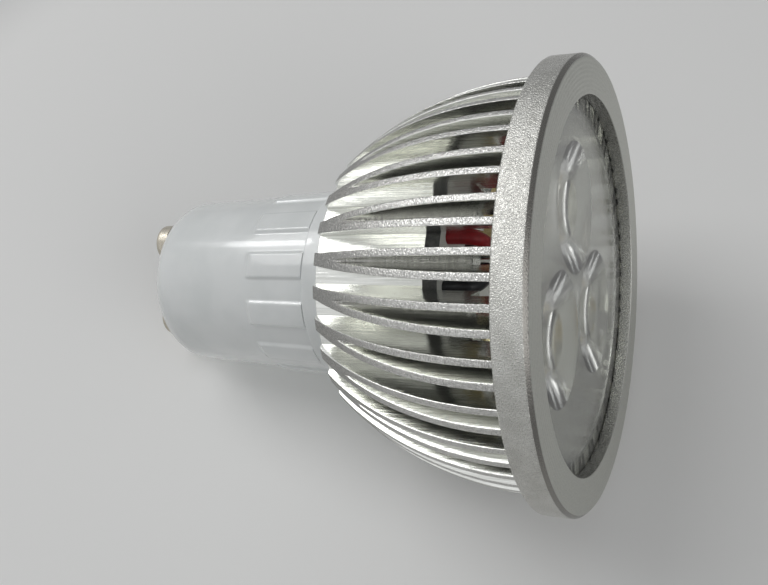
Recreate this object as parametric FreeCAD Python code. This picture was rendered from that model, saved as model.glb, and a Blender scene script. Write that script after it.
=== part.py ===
import FreeCAD, Part
import math
import os

from FreeCAD import Vector

# Spotlight bulb with a two-pin twist-lock base, in millimetres.
# The axis is Z, light leaves towards +Z, and the origin is the middle of the base's end face.

# Clearances
fit_gap = 0.05          # between turned or moulded pieces that fit in each other
loose_gap = 0.3         # between pieces that only sit in or near each other
touch_gap = 0.02        # between a round piece and the face it is soldered to
slot_gap = 0.1          # between the driver board and its guide ribs

# Overall
body_length = 54.2      # end face of the base to front face of the ring
base_length = 27.6      # end face of the base to rear face of the heat sink

# Front ring
rim_r = 25.0
rim_height = 3.5
rim_chamfer = 0.45
rim_rear_chamfer = 0.15
rim_face = 4.3          # width of the front face
rim_wall = 2.7
rim_overhang = 1.9      # how far the ring stands out past the fin tips
lip_t = 1.5

# Lens
flange_t = 0.9
plate_t = 1.9
cone_top_r = 7.3
cone_end_r = 4.0
cone_length = 6.4
pocket_crown = 0.8

# Heat sink
sink_rear_r = 15.75
bowl_bulge = 2.05       # how far the bowl's arc stands out of its chord
fin_count = 28
fin_lean = 9.0          # degrees between a fork's middle line and the radius
root_r = 15.2           # floor of the gaps between forks
fork_r = 18.6           # where a fork divides
trunk_w = 1.4
tine_t = 0.8
tine_spread = 2.36      # between the middles of a fork's two tips
crotch_r = 0.2
cavity_r = 16.5
lens_seat = 3.05        # width of the fin ends under the lens
lens_bore_depth = 5.0
socket_r = 10.2         # rear bore that takes the base
web_t = 4.0             # between the base's socket and the emitters

# Base shell
end_r = 10.25
cone_r = 11.15          # at the brim
end_round = 3.8
brim_r = 11.6
brim_h = 4.1
pad_count = 12
pad_angle = 15.5
pad_turn = 12.0         # degrees from the line of the pins to a pad's middle
pad_rise = 0.32
pad_length = 8.2
pad_run_out = 0.7
shell_bore_r = 8.9
end_wall = 1.6
rib_t = 0.9
rib_depth = 1.4
rib_bite = 0.3          # how far a rib runs into the wall
boss_r = 1.8
boss_length = 5.2

# Contact pins
pin_spacing = 10.0
pin_reach = 4.5
pin_head_r = 2.45
pin_head_h = 1.9
pin_edge = 0.6
pin_neck_r = 1.6
pin_tail_r = 2.2
pin_tail_h = 0.6

# Light emitters and their board
led_count = 3
led_ring_r = 8.7
led_start = 62.0        # degrees from the pin line to the first emitter
board_t = 1.6
led_body_r = 4.0
led_body_h = 1.9
led_bevel = 0.3
led_shoulder_r = 2.8
led_shoulder_h = 0.5
dome_r = 2.5
dome_h = 2.3
lead_w = 0.9
lead_t = 0.3
lead_rise = 0.8
lead_drop = 0.9
lead_reach = 2.4

# Screws
screw_count = 2
board_screw_r = 1.0
board_screw_head_r = 1.9
board_screw_head_h = 1.4
board_screw_bevel = 0.6
board_screw_depth = 3.6
board_screw_ring_r = 11.8
base_screw_r = 1.2
base_screw_head_r = 2.3
base_screw_head_h = 1.3
base_screw_depth = 4.5
base_screw_ring_r = 7.5
base_screw_start = 155.0   # degrees from the pin line to the first screw
drive_w = 0.5
drive_depth = 0.6

# Leads to the emitters
wire_angle = 242.0      # degrees from the pin line to the wire hole
wire_hole_ring_r = 7.6
wire_hole_r = 2.2
wire_r = 0.75
wire_pitch = 1.9
wire_bend = 1.6
solder_ring_r = 14.2
solder_step = 21.0      # degrees between the two solder points
arch_rise = 3.2
red_x = -5.2            # where the leads leave the driver board
black_x = -2.2
wire_tail = 2.2

# Leads from the pins
mains_wire_r = 0.55
mains_bend = 1.0
mains_tail = 3.2

# Driver board
driver_t = 1.0
driver_z = 6.8
driver_length = 23.6
edge_gap = 0.2

# Transformer
core_w = 10.0
core_d = 4.4
core_h = 10.2
core_leg = 2.6
core_side = 1.6
core_z = 17.6
coil_d = 6.2
coil_round = 1.2
coil_foot = 0.4
foot_w = 1.0

# Capacitors
can_r_in = 3.15
can_length_in = 10.0
can_z_in = 8.4
can_r_out = 2.5
can_length_out = 7.0
can_z_out = 19.7
can_bevel = 0.4
can_lead_r = 0.25
can_lead_pitch = 2.4
can_lead_bend = 0.45
can_stand = 0.25
can_drop = 0.8

# Small driver parts
chip_w = 4.6
chip_h = 3.4
chip_t = 1.5
chip_x = 3.6
chip_z = 13.6
chip_legs = 4
bridge_w = 4.4
bridge_h = 3.2
bridge_t = 2.2
bridge_x = -3.6
bridge_legs = 2
diode_w = 2.6
diode_h = 4.2
diode_t = 2.0
diode_x = -5.8
diode_z = 22.0
diode_legs = 1
leg_w = 0.45
leg_out = 0.6
leg_h = 0.5
fuse_r = 1.15
fuse_waist_r = 1.0
fuse_length = 5.6
fuse_cap = 1.3
fuse_z = 11.9
fuse_lead_r = 0.28
fuse_lead_out = 1.1
fuse_lead_bend = 0.5

# Heights and radii that follow
bore_r = rim_r - rim_wall
opening_r = rim_r - rim_face
tip_r = rim_r - rim_overhang
spigot_r = bore_r - fit_gap
lens_bore_r = spigot_r - lens_seat
front_z = body_length
ring_z = front_z - rim_height
lip_z = front_z - lip_t
seat_z = lip_z - flange_t
plate_z = lip_z - plate_t
cone_z = plate_z - cone_length
led_top = cone_z - loose_gap
board_top = led_top - led_body_h
floor_z = board_top - board_t
web_z = floor_z - web_t
dome_z = led_top + led_shoulder_h
lens_bore_z = seat_z - lens_bore_depth
spigot_top = web_z - loose_gap
brim_z = base_length - brim_h
tail_z = end_wall + pin_tail_h
face_y = driver_t / 2
led_angles = [led_start + k * 360 / led_count for k in range(led_count)]
board_screw_angles = [a - 180 / led_count for a in led_angles[:screw_count]]
base_screw_angles = [base_screw_start + k * 360 / screw_count for k in range(screw_count)]


def turn(angle, radius, z=0.0):
    """Point at an angle in degrees and a radius about the axis."""
    a = math.radians(angle)
    return Vector(radius * math.cos(a), radius * math.sin(a), z)


def cylinder(radius, z0, z1, at=Vector(0, 0, 0)):
    return Part.makeCylinder(radius, z1 - z0, Vector(at.x, at.y, z0))


def block(x0, x1, y0, y1, z0, z1):
    return Part.makeBox(x1 - x0, y1 - y0, z1 - z0, Vector(x0, y0, z0))


def revolved(start, *steps, sweep=360.0):
    """Outline of radius and height turned about Z; a pair of points in it is an arc."""
    edges = []
    here = Vector(start[0], 0, start[1])
    for step in steps + (start,):
        if isinstance(step[0], tuple):
            middle, end = [Vector(p[0], 0, p[1]) for p in step]
            edges.append(Part.Arc(here, middle, end).toShape())
        else:
            end = Vector(step[0], 0, step[1])
            edges.append(Part.LineSegment(here, end).toShape())
        here = end
    face = Part.Face(Part.Wire(edges))
    return face.revolve(Vector(0, 0, 0), Vector(0, 0, 1), sweep)


def rounded(r, z, radius):
    """Arc steps round an outer bottom edge at radius r and height z."""
    inset = radius * (1 - math.sqrt(0.5))
    return ((r - inset, z + inset), (r, z + radius))


def crowned(r, z, rise):
    """Arc steps from radius r in to the axis at height z, rising by rise on the way."""
    radius = (r ** 2 + rise ** 2) / (2 * rise)
    half = math.asin(r / radius) / 2
    return ((radius * math.sin(half), z - radius * (1 - math.cos(half))), (0, z))


def routed(points, bend, radius):
    """Round wire along straight runs joined by tangent arcs."""
    edges = []
    start = points[0]
    for before, corner, after in zip(points, points[1:], points[2:]):
        back = (before - corner).normalize()
        onward = (after - corner).normalize()
        half = back.getAngle(onward) / 2
        middle = (back + onward).normalize()
        near = corner + back * (bend / math.tan(half))
        far = corner + onward * (bend / math.tan(half))
        crown = corner + middle * (bend / math.sin(half) - bend)
        edges.append(Part.LineSegment(start, near).toShape())
        edges.append(Part.Arc(near, crown, far).toShape())
        start = far
    edges.append(Part.LineSegment(start, points[-1]).toShape())
    ring = Part.Circle(points[0], points[1] - points[0], radius).toShape()
    return Part.Wire(edges).makePipeShell([Part.Wire(ring)], True, True)


def placed(shape, angle, radius=0.0):
    """Copy of a shape built on the axis, moved out to a radius and turned with its place."""
    copy = shape.copy()
    copy.rotate(Vector(0, 0, 0), Vector(0, 0, 1), angle)
    copy.translate(turn(angle, radius))
    return copy


def joined(first, others):
    return first.fuse(others).removeSplitter()


def make_front_ring():
    return revolved(
        (bore_r, ring_z),
        (rim_r - rim_rear_chamfer, ring_z),
        (rim_r, ring_z + rim_rear_chamfer),
        (rim_r, front_z - rim_chamfer),
        (rim_r - rim_chamfer, front_z),
        (opening_r, front_z),
        (opening_r, lip_z),
        (bore_r, lip_z),
    )


def make_lens():
    """Flanged plate held under the ring's lip, with a collimator over each emitter."""
    boss = lens_bore_r - loose_gap
    flange_r = spigot_r - fit_gap
    plate = revolved(
        (0, plate_z), (boss, plate_z), (boss, seat_z), (flange_r, seat_z), (flange_r, lip_z), (0, lip_z)
    )
    cone = Part.makeCone(cone_end_r, cone_top_r, cone_length, Vector(0, 0, cone_z))
    pocket_r = led_shoulder_r + loose_gap
    crown_z = dome_z + dome_h + loose_gap
    pocket = revolved(
        (0, cone_z),
        (pocket_r, cone_z),
        (pocket_r, crown_z + pocket_crown),
        crowned(pocket_r, crown_z, -pocket_crown),
    )
    solid = joined(plate, [placed(cone, a, led_ring_r) for a in led_angles])
    return solid.cut([placed(pocket, a, led_ring_r) for a in led_angles])


def make_fork():
    """One leaning forked fin as an extruded bar: a trunk that divides into two tines."""
    lean = math.radians(fin_lean)
    along = Vector(math.cos(lean), math.sin(lean), 0)
    across = Vector(-math.sin(lean), math.cos(lean), 0)
    tip = Vector(tip_r, 0, base_length)
    foot = -(tip_r - root_r + trunk_w) / math.cos(lean)
    fork = -(tip_r - fork_r) / math.cos(lean)
    over = tine_spread
    slope = (tine_spread / 2 - tine_t / 2 - crotch_r) / -fork

    def strip(corners):
        points = [tip + along * s + across * v for s, v in corners]
        return Part.Face(Part.makePolygon(points + points[:1]))

    def tine(side):
        inner = [(s, side * (tine_spread / 2 + slope * s - tine_t / 2)) for s in (foot, over)]
        outer = [(s, side * (tine_spread / 2 + slope * s + tine_t / 2)) for s in (over, foot)]
        return strip(inner + outer)

    half = trunk_w / 2
    trunk = strip([(foot, -half), (fork, -half), (fork, half), (foot, half)])
    height = Vector(0, 0, seat_z - base_length)
    bar = joined(trunk.extrude(height), [tine(side).extrude(height) for side in (1, -1)])
    notch = cylinder(crotch_r, base_length, seat_z, tip + along * fork)
    return bar.cut(notch)


def make_heat_sink():
    """Extruded forks on a hub, turned to a bowl outside and bored for the base and the lens."""
    fork = make_fork()
    step = 360 / fin_count
    star = cylinder(root_r, base_length, seat_z).fuse([placed(fork, k * step) for k in range(fin_count)])
    rise = ring_z - base_length
    widen = tip_r - sink_rear_r
    chord = math.hypot(rise, widen)
    middle = (
        (sink_rear_r + tip_r) / 2 + bowl_bulge * rise / chord,
        (base_length + ring_z) / 2 - bowl_bulge * widen / chord,
    )
    bowl = revolved(
        (0, base_length),
        (sink_rear_r, base_length),
        (middle, (tip_r, ring_z)),
        (spigot_r, ring_z),
        (spigot_r, seat_z),
        (0, seat_z),
    ).toNurbs()
    bores = [
        cylinder(socket_r, base_length, web_z),
        cylinder(cavity_r, floor_z, lens_bore_z),
        cylinder(lens_bore_r, lens_bore_z, seat_z),
        cylinder(wire_hole_r, web_z, floor_z, turn(wire_angle, wire_hole_ring_r)),
    ]
    tapped_r = board_screw_r + fit_gap
    for angle in board_screw_angles:
        at = turn(angle, board_screw_ring_r)
        bores.append(cylinder(tapped_r, floor_z - board_screw_depth - loose_gap, floor_z, at))
    sink_r = base_screw_head_r + fit_gap
    hole_r = base_screw_r + fit_gap
    countersink = revolved(
        (0, web_z), (hole_r, web_z), (hole_r, floor_z - base_screw_head_h), (sink_r, floor_z), (0, floor_z)
    )
    bores += [placed(countersink, a, base_screw_ring_r) for a in base_screw_angles]
    return star.common(bowl).cut(bores)


def cone_at(z):
    """Outer radius of the base between its end and its brim."""
    return end_r + (cone_r - end_r) * z / brim_z


def make_base_shell():
    spigot = socket_r - fit_gap
    round_r = cone_at(end_round)
    shell = revolved(
        (0, 0),
        (round_r - end_round, 0),
        rounded(round_r, 0, end_round),
        (cone_r, brim_z),
        (brim_r, brim_z),
        (brim_r, base_length),
        (spigot, base_length),
        (spigot, spigot_top),
        (shell_bore_r, spigot_top),
        (shell_bore_r, end_wall),
        (0, end_wall),
    )
    pad_z = brim_z - pad_length
    full_z = pad_z + pad_run_out
    inside = shell_bore_r + fit_gap
    pad = revolved(
        (inside, pad_z),
        (cone_at(pad_z), pad_z),
        (cone_at(full_z) + pad_rise, full_z),
        (cone_r + pad_rise, brim_z),
        (inside, brim_z),
        sweep=pad_angle,
    )
    step = 360 / pad_count
    extra = [placed(pad, pad_turn + k * step - pad_angle / 2) for k in range(pad_count)]
    slot = face_y + slot_gap
    rib_in = shell_bore_r - rib_depth
    rib_out = shell_bore_r + rib_bite
    for x0, x1 in ((rib_in, rib_out), (-rib_out, -rib_in)):
        extra.append(block(x0, x1, slot, slot + rib_t, end_wall, base_length))
        extra.append(block(x0, x1, -slot - rib_t, -slot, end_wall, base_length))
        extra.append(block(x0, x1, -slot, slot, end_wall, driver_z))
    holes = []
    for angle in base_screw_angles:
        at = turn(angle, base_screw_ring_r)
        extra.append(cylinder(boss_r, spigot_top - boss_length, spigot_top, at))
        holes.append(cylinder(base_screw_r + fit_gap, web_z - base_screw_depth - loose_gap, spigot_top, at))
    for x in (-pin_spacing / 2, pin_spacing / 2):
        holes.append(cylinder(pin_neck_r + fit_gap, 0, end_wall, Vector(x, 0, 0)))
    return joined(shell, extra).cut(holes)


def make_contact_pin():
    """Headed pin, riveted over inside the end wall."""
    head_z = pin_head_h - pin_reach
    return revolved(
        (0, -pin_reach),
        (pin_head_r - pin_edge, -pin_reach),
        rounded(pin_head_r, -pin_reach, pin_edge),
        (pin_head_r, head_z),
        (pin_neck_r, head_z),
        (pin_neck_r, end_wall),
        (pin_tail_r, end_wall),
        (pin_tail_r, tail_z),
        (0, tail_z),
    )


def make_led_board():
    board = cylinder(cavity_r - loose_gap, floor_z, board_top)
    holes = [cylinder(wire_hole_r, floor_z, board_top, turn(wire_angle, wire_hole_ring_r))]
    for angle in board_screw_angles:
        holes.append(cylinder(board_screw_r + fit_gap, floor_z, board_top, turn(angle, board_screw_ring_r)))
    return board.cut(holes)


def make_led_body():
    return revolved(
        (0, board_top),
        (led_body_r, board_top),
        (led_body_r, led_top - led_bevel),
        (led_body_r - led_bevel, led_top),
        (led_shoulder_r, led_top),
        (led_shoulder_r, dome_z),
        (0, dome_z),
    )


def make_led_dome():
    return revolved((0, dome_z), (dome_r, dome_z), crowned(dome_r, dome_z + dome_h, dome_h))


def make_led_leads():
    """Two formed leads beside each emitter."""
    near = led_body_r + touch_gap
    bent = near + lead_drop
    far = near + lead_reach
    high = board_top + lead_rise
    outline = [
        (near, high - lead_t),
        (near, high),
        (bent, high),
        (bent, board_top + lead_t),
        (far, board_top + lead_t),
        (far, board_top),
        (bent - lead_t, board_top),
        (bent - lead_t, high - lead_t),
    ]
    points = [Vector(-lead_w / 2, y, z) for y, z in outline]
    lead = Part.Face(Part.makePolygon(points + points[:1])).extrude(Vector(lead_w, 0, 0))
    twin = placed(lead, 180)
    return Part.makeCompound([placed(s, a, led_ring_r) for a in led_angles for s in (lead, twin)])


def slotted(screw, top):
    """Screw with a straight driving slot across its head."""
    reach = board_screw_head_r + base_screw_head_r
    return screw.cut(block(-reach, reach, -drive_w / 2, drive_w / 2, top - drive_depth, top))


def make_board_screws():
    top = board_top + board_screw_head_h
    screw = revolved(
        (0, floor_z - board_screw_depth),
        (board_screw_r, floor_z - board_screw_depth),
        (board_screw_r, board_top),
        (board_screw_head_r, board_top),
        (board_screw_head_r, top - board_screw_bevel),
        (board_screw_head_r - board_screw_bevel, top),
        (0, top),
    )
    screw = slotted(screw, top)
    return Part.makeCompound([placed(screw, a, board_screw_ring_r) for a in board_screw_angles])


def make_base_screws():
    top = floor_z - touch_gap
    foot = web_z - base_screw_depth
    screw = revolved(
        (0, foot),
        (base_screw_r, foot),
        (base_screw_r, top - base_screw_head_h),
        (base_screw_head_r, top),
        (0, top),
    )
    screw = slotted(screw, top)
    return Part.makeCompound([placed(screw, a, base_screw_ring_r) for a in base_screw_angles])


def make_emitter_wire(side, driver_x, solder_angle):
    """Lead from the driver board through the web's hole, arched over to its solder point."""
    across = turn(wire_angle + 90, side * wire_pitch / 2)
    hole = turn(wire_angle, wire_hole_ring_r) + across
    solder = turn(solder_angle, solder_ring_r)
    y = -face_y - wire_r - touch_gap
    leave_z = driver_z + driver_length - driver_t
    arch_z = board_top + arch_rise
    points = [
        Vector(driver_x, y, leave_z - wire_tail),
        Vector(driver_x, y, leave_z),
        Vector(hole.x, hole.y, web_z - driver_t),
        Vector(hole.x, hole.y, arch_z),
        Vector(solder.x, solder.y, arch_z),
        Vector(solder.x, solder.y, board_top),
    ]
    return routed(points, wire_bend, wire_r)


def make_mains_wire(x):
    """Lead from a pin's riveted end up on to the driver board."""
    y = face_y + mains_wire_r + touch_gap
    points = [
        Vector(x, 0, tail_z),
        Vector(x, 0, tail_z + mains_bend),
        Vector(x, y, driver_z - mains_bend),
        Vector(x, y, driver_z + mains_tail),
    ]
    return routed(points, mains_bend, mains_wire_r)


def make_driver_board():
    half = shell_bore_r - edge_gap
    return block(-half, half, -face_y, face_y, driver_z, driver_z + driver_length)


def make_transformer():
    """Core with two windows round its middle leg, and the coil that fills them."""
    middle_y = face_y + coil_foot + coil_d / 2
    half = core_w / 2
    y0 = middle_y - core_d / 2
    y1 = middle_y + core_d / 2
    window_z0 = core_z + core_side
    window_z1 = core_z + core_h - core_side
    window_x = half - core_side
    core = block(-half, half, y0, y1, core_z, core_z + core_h)
    core = core.cut([
        block(core_leg / 2, window_x, y0, y1, window_z0, window_z1),
        block(-window_x, -core_leg / 2, y0, y1, window_z0, window_z1),
    ])
    coil_x = window_x - slot_gap
    coil_z0 = window_z0 + slot_gap
    coil_z1 = window_z1 - slot_gap
    back = middle_y - coil_d / 2
    coil = block(-coil_x, coil_x, back, back + coil_d, coil_z0, coil_z1)
    upright = [e for e in coil.Edges if abs(e.tangentAt(e.FirstParameter).z) > 0.5]
    coil = coil.makeFillet(coil_round, upright)
    leg = core_leg / 2 + slot_gap
    coil = coil.cut(block(-leg, leg, y0 - slot_gap, y1 + slot_gap, coil_z0, coil_z1))
    inset = coil_x - coil_round
    feet = []
    for x in (-inset, inset - foot_w):
        for z in (coil_z0, coil_z1 - foot_w):
            feet.append(block(x, x + foot_w, face_y, back, z, z + foot_w))
    return core, joined(coil, feet)


def make_can(radius, length, z):
    """Upright electrolytic can behind the board, with two leads bent on to it."""
    y = -face_y - can_stand - radius
    body = revolved(
        (0, z),
        (radius - can_bevel, z),
        (radius, z + can_bevel),
        (radius, z + length - can_bevel),
        (radius - can_bevel, z + length),
        (0, z + length),
    )
    body.translate(Vector(0, y, 0))
    leads = []
    for x in (-can_lead_pitch / 2, can_lead_pitch / 2):
        points = [Vector(x, y, z), Vector(x, y, z - can_drop), Vector(x, -face_y, z - can_drop)]
        leads.append(routed(points, can_lead_bend, can_lead_r))
    return joined(body, leads)


def make_package(x, z, width, height, thick, legs):
    """Moulded chip package on the front of the board, with legs along its two ends."""
    half = width / 2
    body = block(x - half, x + half, face_y + leg_h / 2, face_y + thick, z, z + height)
    feet = []
    for k in range(legs):
        leg_x = x - half + width * (k + 0.5) / legs - leg_w / 2
        feet.append(block(leg_x, leg_x + leg_w, face_y, face_y + leg_h, z - leg_out, z))
        feet.append(block(leg_x, leg_x + leg_w, face_y, face_y + leg_h, z + height, z + height + leg_out))
    return joined(body, feet)


def make_output_diode():
    """Diode package on the back of the board."""
    diode = make_package(-diode_x, diode_z, diode_w, diode_h, diode_t, diode_legs)
    return placed(diode, 180)


def make_fuse_resistor():
    """Capped body across the board, with its two leads bent down."""
    y = face_y + fuse_r + touch_gap
    half = fuse_length / 2
    along = Vector(1, 0, 0)
    waist = Part.makeCylinder(fuse_waist_r, fuse_length, Vector(-half, y, fuse_z), along)
    others = []
    for start in (-half, half - fuse_cap):
        others.append(Part.makeCylinder(fuse_r, fuse_cap, Vector(start, y, fuse_z), along))
    for side in (-1, 1):
        bent = side * (half + fuse_lead_out)
        points = [Vector(side * half, y, fuse_z), Vector(bent, y, fuse_z), Vector(bent, face_y, fuse_z)]
        others.append(routed(points, fuse_lead_bend, fuse_lead_r))
    return joined(waist, others)


def make_parts():
    parts = {
        "front_ring": make_front_ring(),
        "lens": make_lens(),
        "heat_sink": make_heat_sink(),
        "base_shell": make_base_shell(),
        "led_board": make_led_board(),
        "led_leads": make_led_leads(),
        "board_screws": make_board_screws(),
        "base_screws": make_base_screws(),
        "driver_board": make_driver_board(),
        "input_capacitor": make_can(can_r_in, can_length_in, can_z_in),
        "output_capacitor": make_can(can_r_out, can_length_out, can_z_out),
        "bridge_rectifier": make_package(bridge_x, chip_z, bridge_w, bridge_h, bridge_t, bridge_legs),
        "controller_chip": make_package(chip_x, chip_z, chip_w, chip_h, chip_t, chip_legs),
        "output_diode": make_output_diode(),
        "fuse_resistor": make_fuse_resistor(),
        "live_wire": make_mains_wire(pin_spacing / 2),
        "neutral_wire": make_mains_wire(-pin_spacing / 2),
        "red_wire": make_emitter_wire(-1, red_x, wire_angle),
        "black_wire": make_emitter_wire(1, black_x, wire_angle + solder_step),
    }
    parts["transformer_core"], parts["transformer_coil"] = make_transformer()
    pin = make_contact_pin()
    parts["contact_pin_a"] = placed(pin, 0, pin_spacing / 2)
    parts["contact_pin_b"] = placed(pin, 180, pin_spacing / 2)
    body = make_led_body()
    dome = make_led_dome()
    for k, angle in enumerate(led_angles, 1):
        parts[f"led_body_{k}"] = placed(body, angle, led_ring_r)
        parts[f"led_dome_{k}"] = placed(dome, angle, led_ring_r)
    return parts


os.makedirs("parts", exist_ok=True)
for name, shape in make_parts().items():
    shape.exportStep(f"parts/{name}.step")
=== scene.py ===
import math

import bmesh
import bpy
import numpy as np
from bpy.props import FloatProperty, FloatVectorProperty, IntProperty, PointerProperty
from mathutils import Matrix, Vector


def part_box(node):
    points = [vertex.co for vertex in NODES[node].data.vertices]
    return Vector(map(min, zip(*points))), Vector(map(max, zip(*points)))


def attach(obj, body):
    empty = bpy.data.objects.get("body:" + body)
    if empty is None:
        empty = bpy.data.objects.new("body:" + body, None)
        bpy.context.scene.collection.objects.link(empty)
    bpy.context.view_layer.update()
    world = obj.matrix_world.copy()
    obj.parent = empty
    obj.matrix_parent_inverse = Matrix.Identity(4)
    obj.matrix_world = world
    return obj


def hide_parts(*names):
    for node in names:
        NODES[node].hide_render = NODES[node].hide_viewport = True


bl_info = {
    "name": "Spotlight Bulb",
    "version": (1, 0, 0),
    "blender": (4, 5, 0),
    "location": "View3D > Sidebar > Bulb",
    "description": "Dresses a finned spotlight bulb and sets it on a pale studio surface",
    "category": "Object",
}

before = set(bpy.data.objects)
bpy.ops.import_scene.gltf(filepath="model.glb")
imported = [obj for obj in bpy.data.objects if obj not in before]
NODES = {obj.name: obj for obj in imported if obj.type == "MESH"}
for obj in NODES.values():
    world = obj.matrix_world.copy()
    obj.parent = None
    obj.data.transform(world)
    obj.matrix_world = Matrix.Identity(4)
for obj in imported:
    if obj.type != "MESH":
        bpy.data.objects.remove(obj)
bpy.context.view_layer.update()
MM = 0.001
WELD = 0.0002 * MM
EASE = 0.12 * MM
CORNER_POINTS = 5
EDGE_POINTS = 4
GROOVE_POINTS = 8
REACH_ROUNDS = 8
SOLID_ROWS, CAVITY_ROWS, SEAT_ROWS = 24, 11, 7
HUB_COLUMNS = 168
NOSE_ROWS, CONE_ROWS = 24, 110
PAD_COLUMNS = 40
DOME_ROWS, DOME_COLUMNS = 16, 48

RING_LOW, RING_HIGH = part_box("front_ring")
BASE_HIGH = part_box("base_shell")[1]
SINK_LOW, SINK_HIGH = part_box("heat_sink")
BOARD_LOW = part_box("led_board")[0]


def length(name, description, millimetres):
    """A size property, given in millimetres and kept in metres."""
    return FloatProperty(
        name=name, description=description, default=millimetres * MM, min=0.0, unit="LENGTH", precision=5
    )


def angle(name, description, degrees):
    """An angle property, given in degrees and kept in radians."""
    return FloatProperty(name=name, description=description, default=math.radians(degrees), subtype="ANGLE")


def power(name, description, watts):
    """A light's power property, in watts."""
    return FloatProperty(name=name, description=description, default=watts, min=0.0, unit="POWER")


def colour(name, description, default):
    """A colour property in linear light."""
    return FloatVectorProperty(
        name=name, description=description, default=default, size=3, min=0.0, max=1.0, subtype="COLOR"
    )


class BulbRing(bpy.types.PropertyGroup):
    """Sizes of the front ring"""

    chamfer: length("Front Chamfer", "Bevel round the front edge", 0.45)
    rear_chamfer: length("Rear Chamfer", "Bevel round the rear edge", 0.15)
    face_width: length("Face Width", "Width of the front face", 4.3)
    wall: length("Wall", "From the rim to the bore over the fins", 2.7)
    lip: length("Lip", "Thickness of the lip before the lens", 1.5)
    groove_pitch: length("Groove Pitch", "Between two tool marks on the face", 0.47)
    groove_depth: length("Groove Depth", "Depth of a tool mark", 0.018)
    columns: IntProperty(name="Columns", description="Points round the ring", default=320, min=3)


class BulbFins(bpy.types.PropertyGroup):
    """Sizes of the heat sink and its forked fins"""

    count: IntProperty(name="Forks", description="Forked fins round the heat sink", default=28, min=1)
    lean: angle("Lean", "Between a fork's middle line and the radius", 9.0)
    root_radius: length("Root Radius", "Floor of the gaps between forks", 15.2)
    fork_radius: length("Fork Radius", "Where a fork divides", 18.6)
    tip_radius: length("Tip Radius", "Fin ends at the ring", 23.1)
    rear_radius: length("Rear Radius", "Fin ends at the base", 15.75)
    bulge: length("Bulge", "How far the bowl's arc stands out of its chord", 2.05)
    trunk: length("Trunk", "Width of a fork before it divides", 1.4)
    tine: length("Tine", "Thickness of a tine", 0.8)
    spread: length("Spread", "Between the middles of a fork's two tips", 2.36)
    crotch: length("Crotch Radius", "Round floor between two tines", 0.2)
    edge: length("Edge Rounding", "Worn edge along a fin's end", 0.13)
    spigot_radius: length("Spigot Radius", "Fin ends inside the ring", 22.25)
    cavity_radius: length("Cavity Radius", "Room for the emitters", 16.5)
    lens_radius: length("Lens Bore", "Radius of the seat round the lens", 19.2)
    lens_depth: length("Lens Bore Depth", "Depth of the seat round the lens", 5.0)
    socket_radius: length("Socket Radius", "Rear bore that takes the base", 10.2)
    web: length("Web", "Between the base's socket and the emitters", 4.0)


class BulbBase(bpy.types.PropertyGroup):
    """Sizes of the moulded base"""

    end_radius: length("End Radius", "Radius at the pins, before the rounded edge", 10.25)
    cone_radius: length("Cone Radius", "Radius below the brim", 11.15)
    end_round: length("End Round", "Radius of the rounded edge at the pins", 3.8)
    brim_height: length("Brim Height", "Height of the brim against the heat sink", 4.1)
    spigot_radius: length("Spigot Radius", "Part of the base inside the heat sink", 10.15)
    bore_radius: length("Bore Radius", "Inside of the base", 8.9)
    end_wall: length("End Wall", "Thickness of the wall that holds the pins", 1.6)
    pad_count: IntProperty(name="Grip Pads", description="Raised pads round the base", default=12, min=1)
    pad_width: angle("Pad Width", "Angle that one pad covers", 15.5)
    pad_turn: angle("Pad Turn", "From the line of the pins to a pad's middle", 12.0)
    pad_rise: length("Pad Rise", "How far a pad stands out", 0.32)
    pad_length: length("Pad Length", "From a pad's lower end to the brim", 8.2)
    pad_edge: length("Pad Edge", "Width of a pad's soft edge", 0.4)


class BulbEmitters(bpy.types.PropertyGroup):
    """Sizes of the emitters"""

    clear: length("Dome Clearance", "Thin gap between a dome and the body under it", 0.03)
    patch_radius: length("Phosphor Radius", "Round yellow patch under a dome", 1.8)


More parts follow.
